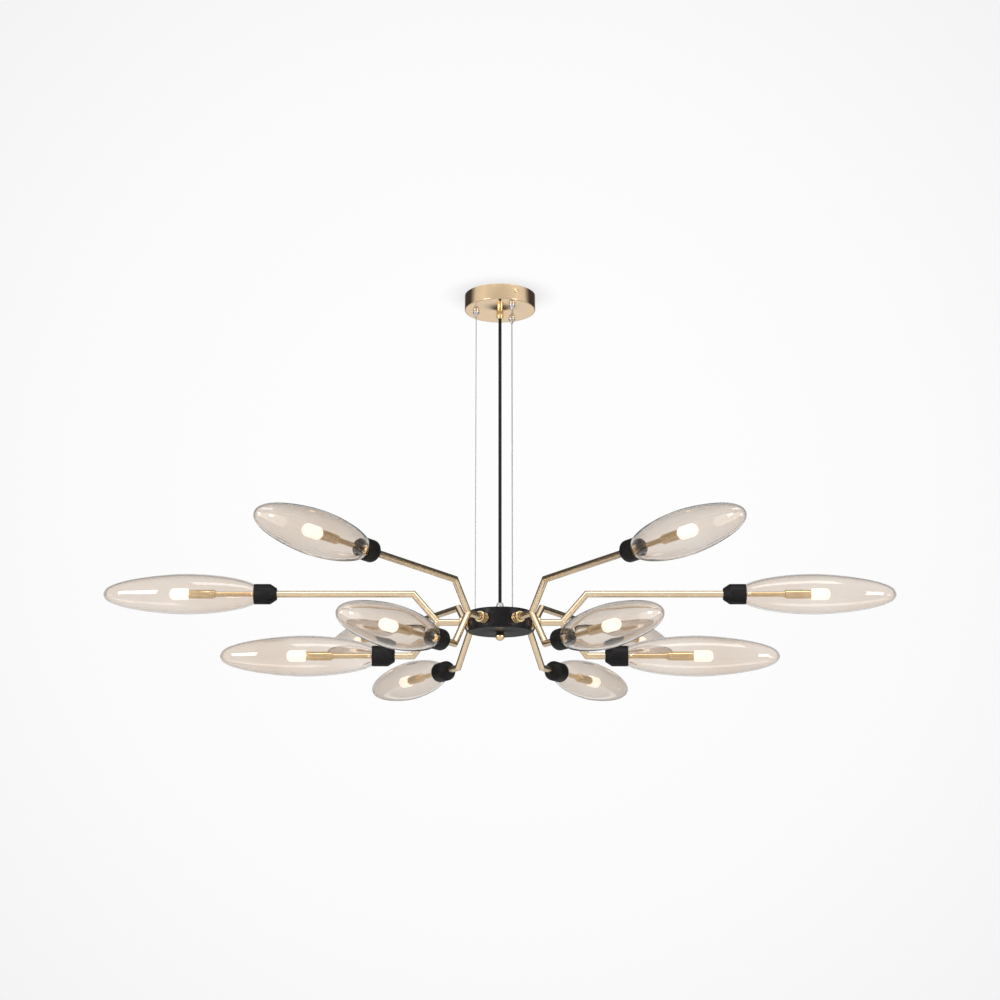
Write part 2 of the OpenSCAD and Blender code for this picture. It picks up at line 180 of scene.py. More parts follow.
def brushed_brass():
    """Canopy brass, brushed round its wall in level lines."""
    s = Shader("brushed_brass", (0.80, 0.59, 0.37), 1.0, 0.2)
    lines = s.noise(60, 5, stretch=(1, 1, 60), rough=0.7)
    s.tint(lines, (0.75, 0.545, 0.335), (0.84, 0.63, 0.405))
    s.roughness(lines, 0.09, 0.18)
    s.bump(lines, 0.00001, 0.2)
    return s.mat


def gold_fittings():
    """Polished brass turned on a lathe."""
    s = Shader("gold_fittings", (0.85, 0.62, 0.30), 1.0, 0.14)
    s.tint(s.noise(90, 4), (0.86, 0.65, 0.36), (0.95, 0.77, 0.50))
    s.roughness(s.noise(420, 5), 0.08, 0.17)
    s.bump(s.noise(1500, 2), 0.000003, 0.2)
    return s.mat


def dark_brass():
    """Aged brass of the port fittings."""
    s = Shader("dark_brass", (0.40, 0.27, 0.11), 1.0, 0.24)
    s.tint(s.noise(120, 4), (0.33, 0.21, 0.08), (0.50, 0.35, 0.16))
    s.roughness(s.noise(500, 4), 0.18, 0.32)
    s.bump(s.noise(2500, 2), 0.00001, 0.3)
    return s.mat


def nickel():
    """Bright nickel plating."""
    s = Shader("nickel", (0.72, 0.70, 0.68), 1.0, 0.12)
    s.tint(s.noise(150, 3), (0.66, 0.64, 0.62), (0.80, 0.78, 0.76))
    s.roughness(s.noise(600, 4), 0.08, 0.20)
    s.bump(s.noise(3000, 2), 0.00001, 0.25)
    return s.mat


def zinc_steel():
    """Zinc plating with its faint spangle."""
    s = Shader("zinc_steel", (0.55, 0.57, 0.60), 1.0, 0.35)
    cells = s.tree.nodes.new("ShaderNodeTexVoronoi")
    cells.inputs["Scale"].default_value = 260
    s.link(s.coords, cells.inputs["Vector"])
    s.tint(cells.outputs["Distance"], (0.50, 0.52, 0.56), (0.64, 0.65, 0.67))
    s.roughness(s.noise(300, 4), 0.28, 0.46)
    s.bump(s.noise(900, 3), 0.00002, 0.3)
    return s.mat


def wire_rope():
    """Drawn steel wire of the cables."""
    s = Shader("wire_rope", (0.36, 0.36, 0.37), 1.0, 0.36)
    s.tint(s.noise(900, 3), (0.28, 0.28, 0.29), (0.44, 0.44, 0.45))
    s.roughness(s.noise(1500, 3), 0.30, 0.44)
    s.bump(s.noise(4000, 2), 0.000004, 0.2)
    return s.mat


def black_enamel():
    """Satin enamel of the hub with very slight orange peel."""
    s = Shader("black_enamel", (0.007, 0.006, 0.007), 0.0, 0.36)
    s.put("Specular IOR Level", 0.2)
    s.tint(s.noise(60, 4), (0.005, 0.0045, 0.005), (0.010, 0.0085, 0.0095))
    s.roughness(s.noise(240, 5), 0.28, 0.40)
    s.bump(s.noise(500, 3), 0.00001, 0.3)
    return s.mat


def matte_black():
    """Powder coat of the collars: fine matt texture."""
    s = Shader("matte_black", (0.007, 0.006, 0.006), 0.0, 0.5)
    s.put("Specular IOR Level", 0.18)
    s.tint(s.noise(160, 5), (0.005, 0.0045, 0.0045), (0.011, 0.0095, 0.0095))
    s.roughness(s.noise(500, 4), 0.42, 0.58)
    s.bump(s.noise(1100, 4), 0.00003, 0.5)
    return s.mat


def cord_sheath():
    """Black textile sheath of the cord."""
    s = Shader("cord_sheath", (0.006, 0.006, 0.006), 0.0, 0.5)
    s.put("Specular IOR Level", 0.2)
    s.tint(s.noise(400, 4), (0.004, 0.004, 0.004), (0.010, 0.010, 0.010))
    s.roughness(s.noise(900, 4), 0.42, 0.58)
    s.bump(s.noise(1600, 3, stretch=(1, 1, 0.15)), 0.00003, 0.5)
    return s.mat


def plastic(name, dark, light, rough):
    """Moulded plastic with a fine matt grain."""
    s = Shader(name, light, 0.0, rough)
    s.tint(s.noise(80, 4), dark, light)
    s.roughness(s.noise(300, 4), rough - 0.06, rough + 0.06)
    s.bump(s.noise(1800, 3), 0.00003, 0.4)
    return s.mat


def tinted_glass():
    """Thin blown glass with a light cognac tint and slight waviness."""
    s = Shader("tinted_glass", (0.90, 0.85, 0.80), 0.0, 0.015, Transmission_Weight=1.0)
    s.put("IOR", 1.5)
    s.tint(s.noise(7, 2), (0.86, 0.795, 0.735), (0.91, 0.865, 0.825))
    s.roughness(s.noise(30, 3), 0.008, 0.03)
    s.bump(s.noise(26, 2), 0.00025, 0.25)
    return s.mat


def frosted_lamp():
    """Frosted capsule that glows, its warm tint varying a little at random across it."""
    s = Shader("frosted_lamp", (0.98, 0.95, 0.90), 0.0, 0.45)
    glow = s.noise(55, 2)
    s.link(s.ramp(glow, [(0.3, (1.0, 0.93, 0.80)), (0.7, (1.0, 0.97, 0.90))]),
           s.bsdf.inputs["Emission Color"])
    s.put("Emission Strength", 0.9)
    s.roughness(s.noise(500, 3), 0.38, 0.52)
    s.bump(s.noise(2400, 2), 0.00002, 0.3)
    return s.mat


MATERIALS = {
    "satin_brass": satin_brass(),
    "brushed_brass": brushed_brass(),
    "gold_fittings": gold_fittings(),
    "dark_brass": dark_brass(),
    "nickel": nickel(),
    "zinc_steel": zinc_steel(),
    "wire_rope": wire_rope(),
    "black_enamel": black_enamel(),
    "matte_black": matte_black(),
    "black_cord": cord_sheath(),
    "driver_plastic": plastic("driver_plastic", (0.62, 0.62, 0.60), (0.74, 0.74, 0.72), 0.45),
    "terminal_nylon": plastic("terminal_nylon", (0.62, 0.56, 0.44), (0.74, 0.68, 0.56), 0.40),
    "wire_insulation": plastic("wire_insulation", (0.66, 0.64, 0.58), (0.76, 0.74, 0.68), 0.38),
    "silicone": plastic("silicone", (0.03, 0.03, 0.03), (0.05, 0.05, 0.05), 0.62),
    "tinted_glass": tinted_glass(),
    "frosted_lamp": frosted_lamp(),
}

# ---------------------------------------------------------------- mesh helpers


def turned(az, radius=0.0, z=0.0):
    """Matrix that lays a piece made along +X out at an azimuth; 90 degrees is +X itself."""
    return (Matrix.Rotation(math.radians(az - 90), 4, "Z")
            @ Matrix.Translation((radius, 0, z)))


# Place of a part turned about the centre line; the distances of its outline are then heights.
UPRIGHT = Matrix.Rotation(math.radians(-90), 4, "Y")


def softened(outline, radius, steps=3):
    """The outline, a list of (radius, distance), with its corners rounded off."""
    made = []
    count = len(outline)
    for i, corner in enumerate(outline):
        before, after = outline[i - 1], outline[(i + 1) % count]
        p, a, b = Vector(corner), Vector(before), Vector(after)
        if corner[0] < 1e-7:
            made.append(tuple(corner))
            continue
        back, on = (a - p), (b - p)
        cut = min(radius, back.length * 0.45, on.length * 0.45)
        start, end = p + back.normalized() * cut, p + on.normalized() * cut
        for k in range(steps + 1):
            t = k / steps
            q = start * (1 - t) ** 2 + p * 2 * t * (1 - t) + end * t ** 2
            made.append((q.x, q.y))
    return made


def stitched(bm, rings, closed=False):
    """Quads from each ring of vertices to the next; closed also joins the last to the first."""
    following = rings[1:] + (rings[:1] if closed else [])
    for one, two in zip(rings, following):
        for k in range(len(one)):
            n = (k + 1) % len(one)
            bm.faces.new((one[k], two[k], two[n], one[n]))


def lathe(bm, outline, place, segments=64):
    """Adds a closed body of revolution about local +X; outline is (radius, distance)."""
    rings = []
    for radius, along in outline:
        if radius < 1e-7:
            rings.append([bm.verts.new(place @ Vector((along, 0, 0)))])
            continue
        ring = []
        for k in range(segments):
            a = 2 * math.pi * k / segments
            ring.append(bm.verts.new(
                place @ Vector((along, radius * math.cos(a), radius * math.sin(a)))))
        rings.append(ring)
    for one, two in zip(rings, rings[1:] + rings[:1]):
        for k in range(segments):
            n = (k + 1) % segments
            if len(one) == 1 and len(two) == 1:
                break
            if len(one) == 1:
                bm.faces.new((one[0], two[k], two[n]))
            elif len(two) == 1:
                bm.faces.new((one[k], two[0], one[n]))
            else:
                bm.faces.new((one[k], two[k], two[n], one[n]))


def finished(bm, name, material, body, nodes, angle=35):
    """Turns a bmesh into a smooth-shaded piece that rides on a body and stands for nodes."""
    bmesh.ops.recalc_face_normals(bm, faces=bm.faces)
    mesh = bpy.data.meshes.new(name)
    bm.to_mesh(mesh)
    bm.free()
    mesh.polygons.foreach_set("use_smooth", [True] * len(mesh.polygons))
    mesh.set_sharp_from_angle(angle=math.radians(angle))
    piece = bpy.data.objects.new(name, mesh)
    bpy.context.scene.collection.objects.link(piece)
    mesh.materials.append(MATERIALS[material])
    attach(piece, body)
    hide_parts(*nodes)
    return piece


def turning(name, outline, places, material, body, nodes, soft=0.3 * MM, segments=64):
    """One piece of equal turned parts, one at each place."""
    bm = bmesh.new()
    shape = softened(outline, soft) if soft else outline
    for place in places:
        lathe(bm, shape, place, segments)
    return finished(bm, name, material, body, nodes)


def rounded(corner_r, corner_at, radius, up, degrees):
    """Outline points of a quarter round on an outer edge, turning from flat to upright.

    The edge is round about (corner_r, corner_at); up is 1 where the flat face is on top.
    """
    return [(corner_r + radius * math.sin(math.radians(d)),
             corner_at + up * radius * math.cos(math.radians(d))) for d in degrees]


def on_cables():
    """The three places over the cables, for parts turned about an upright line."""
    return [turned(az) @ Matrix.Translation((cable_r, 0, 0)) @ UPRIGHT for az in CABLE_AZ]


# ---------------------------------------------------------------- camera and cords

PHOTO_LENS = 64.58
CAMERA_BACK = 2.670
CAMERA_BELOW = 0.481
CAMERA_PITCH = 14.12


def camera():
    """The photograph's own camera, fitted to points of the part."""
    data = bpy.data.cameras.new("camera")
    data.sensor_width = 36
    data.lens = PHOTO_LENS
    cam = bpy.data.objects.new("camera", data)
    bpy.context.scene.collection.objects.link(cam)
    cam.location = (0, -CAMERA_BACK, port_z - CAMERA_BELOW)
    cam.rotation_euler = (math.radians(90 + CAMERA_PITCH), 0, 0)
    bpy.context.scene.camera = cam


CABLE_LOBES = 6
CABLE_PITCH = 9 * MM
CABLE_STEP = 0.75 * MM


def hanging(name, node, material, count, sides, radius_at, angle=35):
    """Upright cord or cable in the place of its node, with its ends closed.

    radius_at gives the radius from the angle round the piece and the distance below its top.
    """
    lo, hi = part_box(node)
    x, y = (lo.x + hi.x) / 2, (lo.y + hi.y) / 2
    bm = bmesh.new()
    rings = []
    for i in range(count + 1):
        z = hi.z + (lo.z - hi.z) * i / count
        ring = []
        for k in range(sides):
            a = 2 * math.pi * k / sides
            r = radius_at(a, hi.z - z)
            ring.append(bm.verts.new((x + r * math.cos(a), y + r * math.sin(a), z)))
        rings.append(ring)
    stitched(bm, rings)
    bm.faces.new(rings[0])
    bm.faces.new(list(reversed(rings[-1])))
    piece = finished(bm, name, material, "fixture", [node], angle)
    points = 20
    path = [(x, y, hi.z + (lo.z - hi.z) * k / points) for k in range(points + 1)]
    return piece, path, hi.z - lo.z


def wire_cable(index):
    """Stranded steel cable: six lobes twisted along its length."""
    node = f"suspension_cable_{index}"
    lo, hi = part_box(node)

    def lobed(a, below):
        turn = 2 * math.pi * below / CABLE_PITCH
        return cable_d / 2 * (0.86 + 0.14 * abs(math.cos(CABLE_LOBES / 2 * (a - turn))))

    piece, path, length = hanging(f"wire_cable_{index}", node, "wire_rope",
                                  int((hi.z - lo.z) / CABLE_STEP), 24, lobed, 80)


def cord():
    """Round supply cord, straight between the two glands."""
    piece, path, length = hanging("flexible_cord", "supply_cord", "black_cord",
                                  120, 32, lambda a, below: cord_d / 2)


# ---------------------------------------------------------------- canopy and suspension


def canopy():
    wall, edge = 1.2 * MM, 1.6 * MM
    r, top, bottom = canopy_r, canopy_top, canopy_bottom
    gland_hole = 5.2 * MM
    outline = [(gland_hole, bottom), (r - edge, bottom)]
    outline += rounded(r - edge, bottom + edge, edge, -1, range(15, 91, 15))
    outline += [(r, top), (r - wall, top), (r - wall, bottom + wall), (gland_hole, bottom + wall)]
    turning("canopy_shell", outline, [UPRIGHT], "brushed_brass", "fixture",
            ["canopy_cup"], soft=0.12 * MM, segments=160)


def threaded(radius, depth, start, end, pitch):
    """Outline points of a thread, a sawtooth from start up to end."""
    made = []
    x = start
    while x < end:
        made += [(radius, x), (radius - depth, x + pitch / 2)]
        x += pitch
    return made


def side_screws():
    """Round heads with a recess in the middle, and a threaded shank."""
    for index, az in enumerate(SCREW_AZ, 1):
        node = f"canopy_screw_{index}"
        z = (low(node).z + high(node).z) / 2
        head_r, shank_r, point = 3.5 * MM, 1.5 * MM, 0.4 * MM
        inner, seat, outer = 45 * MM, canopy_r + 0.3 * MM, canopy_r + 2.1 * MM
        outline = [(0, inner), (shank_r - point, inner)]
        outline += threaded(shank_r, 0.25 * MM, inner + point, seat - 0.5 * MM, 0.5 * MM)
        dome = outer - seat - 0.5 * MM
        outline += [(shank_r, seat), (head_r, seat), (head_r, seat + 0.5 * MM)]
        outline += [(head_r * math.cos(math.radians(d)),
                     outer - dome + dome * math.sin(math.radians(d))) for d in (20, 40, 55)]
        outline += [(1.9 * MM, outer), (1.5 * MM, outer - 1.2 * MM), (0, outer - 1.3 * MM)]
        turning(f"side_screw_{index}", outline, [turned(az, 0, z)], "gold_fittings",
                f"canopy_screw_{index}", [node], soft=0, segments=48)


def glands():
    bore, r = 2.8 * MM, gland_r
    b = gland_bottom
    tube = [(bore, b), (r - 0.5 * MM, b), (r, b + 0.5 * MM), (r, b + 2.4 * MM),
            (r - 0.35 * MM, b + 2.7 * MM), (r - 0.35 * MM, b + 3.2 * MM), (r, b + 3.5 * MM),
            (r, canopy_bottom - 1.4 * MM), (r - 0.4 * MM, canopy_bottom - 1.2 * MM),
            (r, canopy_bottom - 1.0 * MM), (r, canopy_bottom),
            (r - 0.5 * MM, canopy_bottom), (r - 0.5 * MM, high("canopy_gland").z),
            (bore, high("canopy_gland").z)]
    turning("gland_tube", tube, [UPRIGHT], "gold_fittings", "fixture",
            ["canopy_gland"], soft=0.2 * MM)
    t, s = hub_gland_top, hub_top
    lower = low("hub_gland").z
    nipple = [(bore, t), (r - 1.6 * MM, t), (r - 0.6 * MM, t - 0.8 * MM), (r - 0.6 * MM, t - 3 * MM),
              (r, t - 3.4 * MM), (r, s), (4.8 * MM, s), (4.8 * MM, lower), (bore, lower)]
    turning("hub_nipple", nipple, [UPRIGHT], "nickel", "fixture",
            ["hub_gland"], soft=0.25 * MM)


def grippers():
    """Cone bodies with a flange against the canopy, and the plungers in their tips."""
    b, t, s = gripper_bottom, gripper_top, canopy_bottom
    tip, flange, neck, seat_r, bore = 3.3 * MM, 5.25 * MM, 3.0 * MM, 2.5 * MM, 0.9 * MM
    seat = b + 6 * MM
    outline = [(seat_r, b), (tip, b), (flange - 0.3 * MM, s - 3 * MM), (flange, s - 2.7 * MM),
               (flange, s), (neck, s), (neck, t), (bore, t), (bore, seat), (seat_r, seat)]
    turning("gripper_cones", outline, on_cables(), "nickel", "fixture",
            ["gripper_bodies"], soft=0.12 * MM, segments=48)
    pb, pt, pr = plunger_bottom, plunger_top, 2.2 * MM
    sleeve = [(bore, pb), (pr - 0.4 * MM, pb), (pr, pb + 0.5 * MM), (pr, pb + 1.0 * MM),
              (pr - 0.25 * MM, pb + 1.2 * MM), (pr - 0.25 * MM, pb + 1.5 * MM),
              (pr, pb + 1.7 * MM), (pr, pt), (bore, pt)]
    for index, place in enumerate(on_cables(), 1):
        turning(f"release_sleeve_{index}", sleeve, [place], "nickel", f"gripper_plunger_{index}",
                [f"gripper_plunger_{index}"], soft=0.1 * MM, segments=40)


# ---------------------------------------------------------------- hub


def hub():
    r, top, bottom, wall = hub_r, hub_top, shell_bottom, 1.5 * MM
    edge = 1.8 * MM
    hole = 5 * MM
    shell = [(hole, top), (r - edge, top)]
    shell += rounded(r - edge, top - edge, edge, 1, range(15, 91, 15))
    shell += [(r, bottom), (r - wall, bottom), (r - wall, top - wall), (hole, top - wall)]
    turning("hub_drum", shell, [UPRIGHT], "black_enamel", "fixture",
            ["hub_shell"], soft=0.15 * MM, segments=160)
    b, lip_top = hub_bottom, cover_top
    rim, sheet, stud_hole, corner = b + 3 * MM, 1.5 * MM, 3.3 * MM, 1.2 * MM
    lip_r, lip_wall = r - 1.9 * MM, 1.4 * MM
    cover = [(stud_hole, b), (r - corner, b)]
    cover += rounded(r - corner, b + corner, corner, -1, (20, 40, 60, 90))
    cover += [(r, rim), (lip_r, rim), (lip_r, lip_top), (lip_r - lip_wall, lip_top),
              (lip_r - lip_wall, b + sheet), (stud_hole, b + sheet)]
    turning("hub_lid", cover, [UPRIGHT], "black_enamel", "hub_cover",
            ["hub_cover"], soft=0.15 * MM, segments=160)


def ball_finial():
    lo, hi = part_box("finial")
    r, flat, bore = 7.2 * MM, 5.4 * MM, 3.2 * MM
    z = hi.z - flat
    outline = [(0, z - r)]
    outline += [(r * math.sin(math.radians(d)), z - r * math.cos(math.radians(d)))
                for d in range(8, 137, 8)]
    outline += [(math.sqrt(r ** 2 - flat ** 2), hi.z), (bore, hi.z), (bore, z - bore),
                (0, z - bore)]
    turning("ball_nut", outline, [UPRIGHT], "gold_fittings", "finial",
            ["finial"], soft=0)


def ports():
    """Washer, threaded bushing and knurled ring nut at each port."""
    bore, thread = tube_r + 0.1 * MM, port_thread_r
    inner, outer = hub_r - 5 * MM, hub_r + 14 * MM
    places = [turned(az, 0, port_z) for az in ARM_AZ]
    bushing = [(bore, inner), (thread - 0.3 * MM, inner)]
    pitch, crest, cut = 1.0 * MM, 0.12 * MM, 0.35 * MM
    x = inner + pitch / 2
    while x < outer - 1.2 * MM:
        bushing += [(thread, x), (thread, x + crest), (thread - cut, x + pitch / 2),
                    (thread - cut, x + pitch / 2 + crest)]
        x += pitch
    bushing += [(thread, outer - 1.0 * MM), (thread - 0.7 * MM, outer), (bore, outer)]
    turning("threaded_bushings", bushing, places, "dark_brass", "fixture",
            ["port_bushings"], soft=0, segments=48)
    w0, w1, wr = hub_r + 0.1 * MM, hub_r + 2.1 * MM, port_ring_r
    washer = [(thread + 0.1 * MM, w0), (wr, w0), (wr, w0 + 0.7 * MM), (wr - 1.2 * MM, w1),
              (thread + 0.1 * MM, w1)]
    turning("domed_washers", washer, places, "dark_brass", "fixture",
            ["port_washers"], soft=0.25 * MM)
    n0, n1, nr = hub_r + 7.5 * MM, hub_r + 13.5 * MM, port_ring_r
    bm = bmesh.new()
    for place in places:
        knurled_ring(bm, place, n0, n1, thread + 0.1 * MM, nr)
    finished(bm, "knurled_ring_nuts", "gold_fittings", "fixture",
             ["port_ring_nuts"], 30)


def knurled_ring(bm, place, x0, x1, bore, r, teeth=44):
    """Ring with a straight knurl between two plain chamfered ends."""
    depth, chamfer = 0.22 * MM, 0.7 * MM
    segments = teeth * 4
    stations = [(bore, x0, 0), (r - chamfer, x0, 0), (r, x0 + chamfer, 0),
                (r, x0 + chamfer + 0.4 * MM, 0), (r, x0 + chamfer + 0.7 * MM, 1),
                (r, x1 - chamfer - 0.7 * MM, 1), (r, x1 - chamfer - 0.4 * MM, 0),
                (r, x1 - chamfer, 0), (r - chamfer, x1, 0), (bore, x1, 0)]
    rings = []
    for radius, along, cut in stations:
        ring = []
        for k in range(segments):
            a = 2 * math.pi * k / segments
            groove = depth * cut * (1 if k % 4 in (2, 3) else 0)
            ring.append(bm.verts.new(place @ Vector(
                (along, (radius - groove) * math.cos(a), (radius - groove) * math.sin(a)))))
        rings.append(ring)
    stitched(bm, rings, closed=True)


# ---------------------------------------------------------------- arms

FORK_R = 93.4 * MM
BEND_R = 131 * MM
STEM_IN = 38 * MM
TUBE_SEAT = 20 * MM
TUBE_WALL = 1.0 * MM


def rod_rings(start, end, radius, cuts_start, cuts_end, sides=48):
    """The two end rings of a tube in the XZ plane, cut by planes (point, normal)."""
    axis = (end - start).normalized()
    side = Vector((0, 1, 0))
    up = axis.cross(side)
    ends = []
    for cuts, pick in ((cuts_start, max), (cuts_end, min)):
        ring = []
        for k in range(sides):
            a = 2 * math.pi * k / sides
            p = start + radius * (math.cos(a) * side + math.sin(a) * up)
            reach = [(q - p).dot(n) / axis.dot(n) for q, n in cuts]
            ring.append(p + axis * pick(reach))
        ends.append(ring)
    return ends


def skin(bm, rings, place):
    """Lays the rings of points at a place and joins them with faces."""
    made = [[bm.verts.new(place @ p) for p in ring] for ring in rings]
    stitched(bm, made)
    return made


def forked_tube(bm, place, radius, stem_in, ends):
    """Stem, two branches and two long arms with mitred joints, as in the frame."""
    fork = Vector((FORK_R, 0, port_z))
    bends = [Vector((BEND_R, 0, upper_z)), Vector((BEND_R, 0, lower_z))]
    ways = [(b - fork).normalized() for b in bends]
    out = Vector((1, 0, 0))
    mitre = [(fork, (out + w).normalized()) for w in ways]
    split = (fork, (ways[0] - ways[1]).normalized())
    stem_end = [(Vector((stem_in, 0, port_z)), out)]
    tubes = [skin(bm, rod_rings(Vector((stem_in, 0, port_z)), fork, radius, stem_end, mitre), place)]
    for k in (0, 1):
        bend = (bends[k], (out + ways[k]).normalized())
        skin(bm, rod_rings(fork, bends[k], radius, [mitre[k], split], [bend]), place)
        end = Vector((ends[k], 0, bends[k].z))
        tubes.append(skin(bm, rod_rings(bends[k], end, radius, [bend], [(end, out)]), place))
    return tubes


def arms():
    ends = [mouth_r[k] - TUBE_SEAT for k in LEVELS]
    for index, az in enumerate(ARM_AZ, 1):
        bm = bmesh.new()
        place = turned(az)
        outer = forked_tube(bm, place, tube_r, STEM_IN, ends)
        inner = forked_tube(bm, place, tube_r - TUBE_WALL, STEM_IN, ends)
        for shell, lining, open_end in zip(outer, inner, (0, -1, -1)):
            stitched(bm, [lining[open_end], shell[open_end]])
        bmesh.ops.remove_doubles(bm, verts=bm.verts, dist=1e-6)
        finished(bm, f"forked_arm_{index}", "satin_brass", "fixture",
                 [f"arm_{index}"], 20)


# ---------------------------------------------------------------- lights


def collars():
    r, depth, bore, tube_hole = collar_r, 14 * MM, 14.3 * MM, tube_r + 0.1 * MM
    nose, nose_r = 10 * MM, 9 * MM
    outline = [(tube_hole, -COLLAR_L), (nose_r, -COLLAR_L), (r, -COLLAR_L + nose), (r, 0),
               (bore, 0), (bore, -depth), (tube_hole, -depth)]
    for level in LEVELS:
        places = [turned(az, mouth_r[level], level_z[level]) for az in ARM_AZ]
        turning(f"shade_cups_{level}", outline, places, "matte_black", "fixture",
                [f"collars_{level}"], soft=0.6 * MM, segments=80)


def lampholders():
    """Hollow stem and stepped sleeve with a rolled front edge."""
    stem, bore, ferrule, socket = 3.75 * MM, 2.9 * MM, 4.65 * MM, 4.0 * MM
    start, foot, e, r = 0.2 * MM - TUBE_SEAT, holder_end - HOLDER_L, holder_end, holder_r
    groove = r - 0.3 * MM
    outline = [(bore, start), (stem, start), (stem, foot - 3 * MM), (ferrule, foot - 2.6 * MM),
               (ferrule, foot - 0.6 * MM), (stem, foot - 0.2 * MM), (stem, foot),
               (r - 0.5 * MM, foot), (r, foot + 0.7 * MM), (r, foot + 5 * MM),
               (groove, foot + 5.3 * MM), (groove, foot + 6 * MM), (r, foot + 6.3 * MM),
               (r, e - 2.2 * MM), (r - 0.35 * MM, e - 1.9 * MM), (r - 0.35 * MM, e - 1.3 * MM),
               (r, e - 1.0 * MM), (groove, e), (socket, e), (socket, e - 6.5 * MM),
               (bore, e - 6.5 * MM)]
    for level in LEVELS:
        places = [turned(az, mouth_r[level], level_z[level]) for az in ARM_AZ]
        turning(f"lamp_sleeves_{level}", outline, places, "gold_fittings", "fixture",
                [f"lampholders_{level}"], soft=0.12 * MM)


def lamps():
    foot, end, r = holder_end, lamp_end, lamp_r
    base_r, base_end, heel, corner = 3.8 * MM, foot - 5.8 * MM, 2.2 * MM, 6.5 * MM
    outline = [(0, base_end), (base_r, base_end), (base_r, foot + 0.3 * MM),
               (r - heel, foot + 0.4 * MM)]
    outline += rounded(r - heel, foot + 0.4 * MM + heel, heel, -1, (30, 60, 90))
    outline += rounded(r - corner, end - corner, corner, 1, range(90, -1, -10))
    outline += [(0, end)]
    for level in LEVELS:
        places = [turned(az, mouth_r[level], level_z[level]) for az in ARM_AZ]
        turning(f"capsule_lamps_{level}", outline, places, "frosted_lamp", "fixture",
                [f"lamps_{level}"], soft=0, segments=48)


CROWN = 122 * MM
GLASS_WALL = 2.2 * MM
TIP_WALL = 2.6 * MM
NECK_R = 12.6 * MM
NECK_L = 12 * MM
MOUTH_GLASS_R = 13.75 * MM


def glass_face(crown_r, mouth, tip_x, steps=30):
    """One face of the glass from mouth to tip, by the same rule as the frame's shade."""
    crown_x = shade_l - CROWN
    made = []
    for k in range(steps + 1):
        a = math.radians(90 - 90 * k / steps)
        made.append((mouth + (crown_r - mouth) * max(0.0, math.cos(a)) ** 1.34,
                     crown_x * (1 - math.sin(a))))
    for k in range(1, steps + 1):
        u = math.cos(math.radians(90 - 90 * k / steps))
        made.append((0.0 if k == steps else crown_r * (1 - u ** 1.5) ** 0.42,
                     crown_x + (tip_x - crown_x) * u))
    return made


def shades():
    """Blown glass bodies, closed at the tip, each with a fire-polished neck rim."""
    outer = glass_face(shade_r, MOUTH_GLASS_R, shade_l)
    inner = glass_face(shade_r - GLASS_WALL, NECK_R - GLASS_WALL, shade_l - TIP_WALL)
    rim = GLASS_WALL / 2
    lip = [(NECK_R - rim + rim * math.cos(math.radians(d)),
            -NECK_L + rim - rim * math.sin(math.radians(d))) for d in range(180, -1, -30)]
    neck = lip + [(NECK_R, -3 * MM), (NECK_R + 0.5 * MM, -1.5 * MM)]
    outline = neck + outer + inner[::-1]
    for level in LEVELS:
        for index, az in enumerate(ARM_AZ, 1):
            bm = bmesh.new()
            lathe(bm, outline, turned(az, mouth_r[level], level_z[level]), 112)
            name = f"shade_{level}_{index}"
            finished(bm, f"glass_{level}_{index}", "tinted_glass", name, [name], 60)


# ---------------------------------------------------------------- kept nodes

KEPT = {
    "zinc_steel": ["mounting_plate", "gripper_nuts", "cable_anchors", "hub_bridge", "hub_stud",
                   "port_locknuts"],
    "gold_fittings": ["canopy_gland_nut", "hub_gland_nut", "stem_nuts"],
    "driver_plastic": ["led_driver"],
    "terminal_nylon": ["terminal_block", "hub_terminal_block"],
    "wire_insulation": ["arm_wires"],
    "silicone": ["seal_rings"],
}


def kept_nodes():
    """Materials and a small bevel for the hidden pieces, whose frame meshes stay."""
    for material, nodes in KEPT.items():
        for node in nodes:
            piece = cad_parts[node]
            piece.data.materials.clear()
            piece.data.materials.append(MATERIALS[material])
            bevel = piece.modifiers.new("edges", "BEVEL")
            bevel.width = 0.25 * MM
            bevel.segments = 2
            bevel.limit_method = "ANGLE"
            bevel.angle_limit = math.radians(50)


# ---------------------------------------------------------------- studio


def area_light(name, place, aim, size, power):
    data = bpy.data.lights.new(name, "AREA")
    data.shape = "RECTANGLE"
    data.size, data.size_y = size
    data.energy = power
    light = bpy.data.objects.new(name, data)
    bpy.context.scene.collection.objects.link(light)
    light.location = place
    light.rotation_euler = (Vector(aim) - Vector(place)).to_track_quat("-Z", "Y").to_euler()


